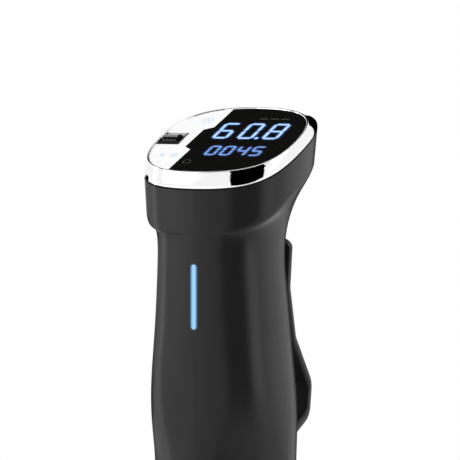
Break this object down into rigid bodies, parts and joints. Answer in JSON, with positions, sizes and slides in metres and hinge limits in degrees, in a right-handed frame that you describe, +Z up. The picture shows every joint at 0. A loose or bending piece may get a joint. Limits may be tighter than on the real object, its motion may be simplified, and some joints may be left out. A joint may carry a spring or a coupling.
{
  "type": "sous vide circulator",
  "caption": "Slim stick immersion circulator with a tilted oval display head, thumb roller, waisted grip, slotted steel tube and a sprung pot clip.",
  "frame": {"origin": "centre of the flat base of the foot cap", "axes": "+Z up along the tube, -Y to the front that the user faces, +Y to the clip at the back"},
  "size_m": [0.079, 0.1036, 0.3797],
  "materials": {
    "housing_black": "satin",
    "chrome_trim": "polished",
    "black_rubber": "matte",
    "black_glass": "gloss",
    "white_panel": "gloss",
    "roller_grey": "satin",
    "light_strip": "lit",
    "circuit_board": "matte",
    "dark_plastic": "matte",
    "steel": "brushed",
    "brass": "bare",
    "copper_winding": "varnished",
    "clip_black": "satin"
  },
  "bodies": {
    "housing": {"main_housing": "housing_black", "rear_cover": "housing_black", "chrome_bezel": "chrome_trim", "bezel_gasket": "black_rubber", "rear_pad": "black_rubber", "bulkhead_seal": "black_rubber", "shaft_seal": "black_rubber", "cord_gland": "black_rubber", "display_window": "black_glass", "control_panel": "white_panel", "light_guide": "light_strip", "display_board": "circuit_board", "light_board": "circuit_board", "power_board": "circuit_board", "led_module": "dark_plastic", "head_tray": "dark_plastic", "touch_pads": "dark_plastic", "encoder_body": "dark_plastic", "power_components": "dark_plastic", "flow_plate": "dark_plastic", "bulkhead": "dark_plastic", "column_bush": "dark_plastic", "base_cap": "dark_plastic", "steel_sleeve": "steel", "heater_element": "steel", "temperature_probe": "steel", "level_electrodes": "steel", "shaft_column": "steel", "cover_screws": "steel", "clip_pin": "steel", "pin_retainers": "steel", "clip_spring": "steel", "motor_can": "steel", "motor_lid": "steel", "lower_bearing": "steel", "upper_bearing": "steel", "heater_nuts": "brass", "motor_stator": "copper_winding"},
    "clip": {"clip_arm": "clip_black", "clip_pad": "black_rubber"},
    "rotor": {"drive_shaft": "steel", "impeller": "dark_plastic", "motor_rotor": "steel", "cooling_fan": "dark_plastic"},
    "roller": {"scroll_roller": "roller_grey", "encoder_shaft": "steel"}
  },
  "joints": [
    {"name": "clip_press", "type": "hinge", "parent": "housing", "child": "clip", "pos_m": [0, 0.0345, 0.286], "axis": [1, 0, 0], "range_deg": [0, 18], "stiffness_Nm_per_rad": 1.5, "springref_deg": -11.46},
    {"name": "shaft_spin", "type": "hinge", "parent": "housing", "child": "rotor", "pos_m": [0, 0, 0.2], "axis": [0, 0, 1], "continuous": true},
    {"name": "roller_turn", "type": "hinge", "parent": "housing", "child": "roller", "pos_m": [0, 0.00492, 0.36114], "axis": [1, 0, 0], "continuous": true}
  ]
}
